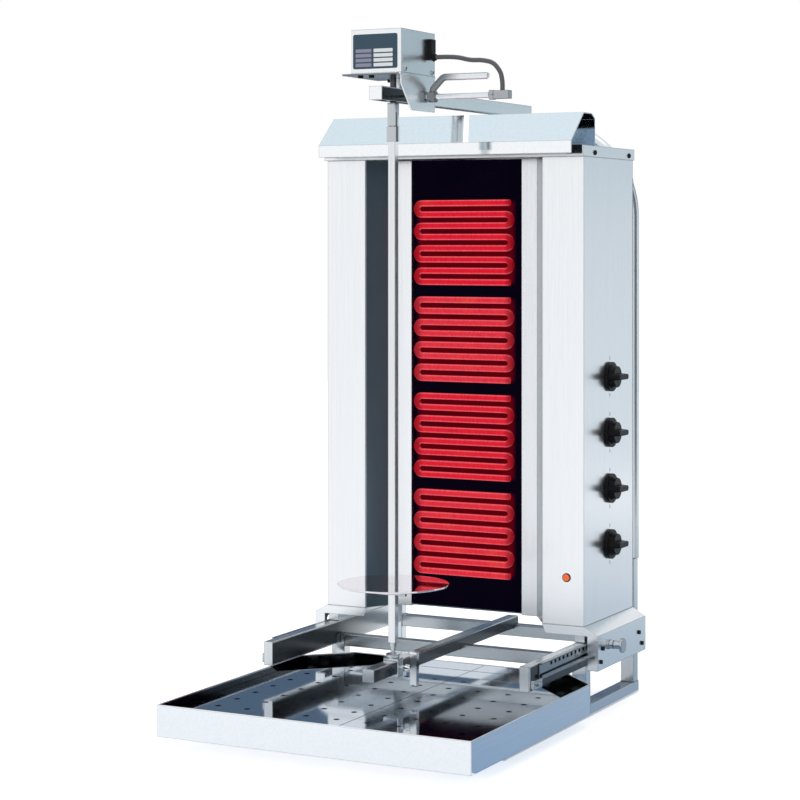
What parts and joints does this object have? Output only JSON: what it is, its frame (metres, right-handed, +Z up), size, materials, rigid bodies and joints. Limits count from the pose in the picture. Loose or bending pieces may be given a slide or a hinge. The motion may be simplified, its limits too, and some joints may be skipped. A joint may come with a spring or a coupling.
{
  "type": "electric doner kebab grill",
  "caption": "Upright electric doner grill: heated tower sliding on a steel base frame, motor-driven vertical spit with meat disc, hood, knobs and a perforated drip tray.",
  "frame": {"origin": "on the table, on the tower's centre plane, under the front face of the tower at rest", "axes": "+X to the grill's right with the knobs, +Y to the back, +Z up"},
  "size_m": [0.5431, 0.774, 1.085],
  "materials": {
    "frame_tube": "satin",
    "tower_sheet": "satin",
    "polished_sheet": "polished",
    "spit_steel": "polished",
    "dark_enamel": "satin",
    "heater": "glowing",
    "black_plastic": "gloss",
    "black_cable": "satin",
    "lamp": "gloss",
    "cast_grey": "satin"
  },
  "bodies": {
    "frame": {"arm": "frame_tube", "arm_saddle": "frame_tube", "base_rail_left": "frame_tube", "base_rail_right": "frame_tube", "center_bar": "frame_tube", "end_stop_left": "frame_tube", "end_stop_right": "frame_tube", "foot_bearing": "frame_tube", "front_cross_bar": "frame_tube", "front_post_left": "frame_tube", "front_post_right": "frame_tube", "gear_motor": "cast_grey", "hoop": "frame_tube", "lead_gland": "cast_grey", "motor_cradle": "tower_sheet", "motor_housing": "tower_sheet", "motor_lead": "black_cable", "motor_plug": "black_plastic", "pivot_rod": "spit_steel", "rear_cross_bar": "frame_tube", "rear_post_left": "frame_tube", "rear_post_right": "frame_tube", "slide_channel_left": "frame_tube", "slide_channel_right": "frame_tube", "top_rail_left": "frame_tube", "top_rail_right": "frame_tube"},
    "tower": {"back_panel": "tower_sheet", "carriage_cover_left": "tower_sheet", "carriage_cover_right": "tower_sheet", "carriage_runner_left": "frame_tube", "carriage_runner_right": "frame_tube", "cover_bolts_left": "frame_tube", "cover_bolts_right": "frame_tube", "heat_switches": "black_plastic", "heater_1": "heater", "heater_2": "heater", "heater_3": "heater", "heater_4": "heater", "heater_panel": "dark_enamel", "hood": "polished_sheet", "latch_guide": "spit_steel", "lid": "polished_sheet", "pilot_lamp": "lamp", "side_casing_left": "tower_sheet", "side_casing_right": "tower_sheet", "tower_floor": "tower_sheet"},
    "latch": {"latch_pin": "spit_steel"},
    "spit": {"spit_bar": "spit_steel", "meat_disc": "spit_steel", "disc_pin": "spit_steel", "drive_coupling": "spit_steel"},
    "clamp": {"clamp_lever": "frame_tube"},
    "handle": {"release_handle": "spit_steel"},
    "tray": {"drip_tray": "polished_sheet", "tray_floor_left": "polished_sheet", "tray_floor_right": "polished_sheet"},
    "knob_1": {"heat_knob_1": "black_plastic"},
    "knob_2": {"heat_knob_2": "black_plastic"},
    "knob_3": {"heat_knob_3": "black_plastic"},
    "knob_4": {"heat_knob_4": "black_plastic"}
  },
  "joints": [
    {"name": "tower_slide", "type": "slide", "parent": "frame", "child": "tower", "axis": [0, 1, 0], "range_m": [-0.128, 0]},
    {"name": "tray_pull", "type": "slide", "parent": "frame", "child": "tray", "axis": [0, 1, 0], "range_m": [-0.3, 0]},
    {"name": "spit_spin", "type": "hinge", "parent": "frame", "child": "spit", "pos_m": [0, -0.209, 0.5], "axis": [0, 0, 1], "continuous": true},
    {"name": "clamp_turn", "type": "hinge", "parent": "frame", "child": "clamp", "pos_m": [0.02, -0.209, 0.1017], "axis": [1, 0, 0], "range_deg": [-60, 60]},
    {"name": "handle_swing", "type": "hinge", "parent": "frame", "child": "handle", "pos_m": [0.05, -0.177, 0.985], "axis": [1, 0, 0], "range_deg": [-80, 0]},
    {"name": "latch_pull", "type": "slide", "parent": "tower", "child": "latch", "axis": [1, 0, 0], "range_m": [0, 0.006]},
    {"name": "knob_1_turn", "type": "hinge", "parent": "tower", "child": "knob_1", "pos_m": [0.2325, 0.111, 0.54], "axis": [1, 0, 0], "range_deg": [-90, 90]},
    {"name": "knob_2_turn", "type": "hinge", "parent": "tower", "child": "knob_2", "pos_m": [0.2325, 0.111, 0.449], "axis": [1, 0, 0], "range_deg": [-90, 90]},
    {"name": "knob_3_turn", "type": "hinge", "parent": "tower", "child": "knob_3", "pos_m": [0.2325, 0.111, 0.358], "axis": [1, 0, 0], "range_deg": [-90, 90]},
    {"name": "knob_4_turn", "type": "hinge", "parent": "tower", "child": "knob_4", "pos_m": [0.2325, 0.111, 0.267], "axis": [1, 0, 0], "range_deg": [-90, 90]}
  ]
}
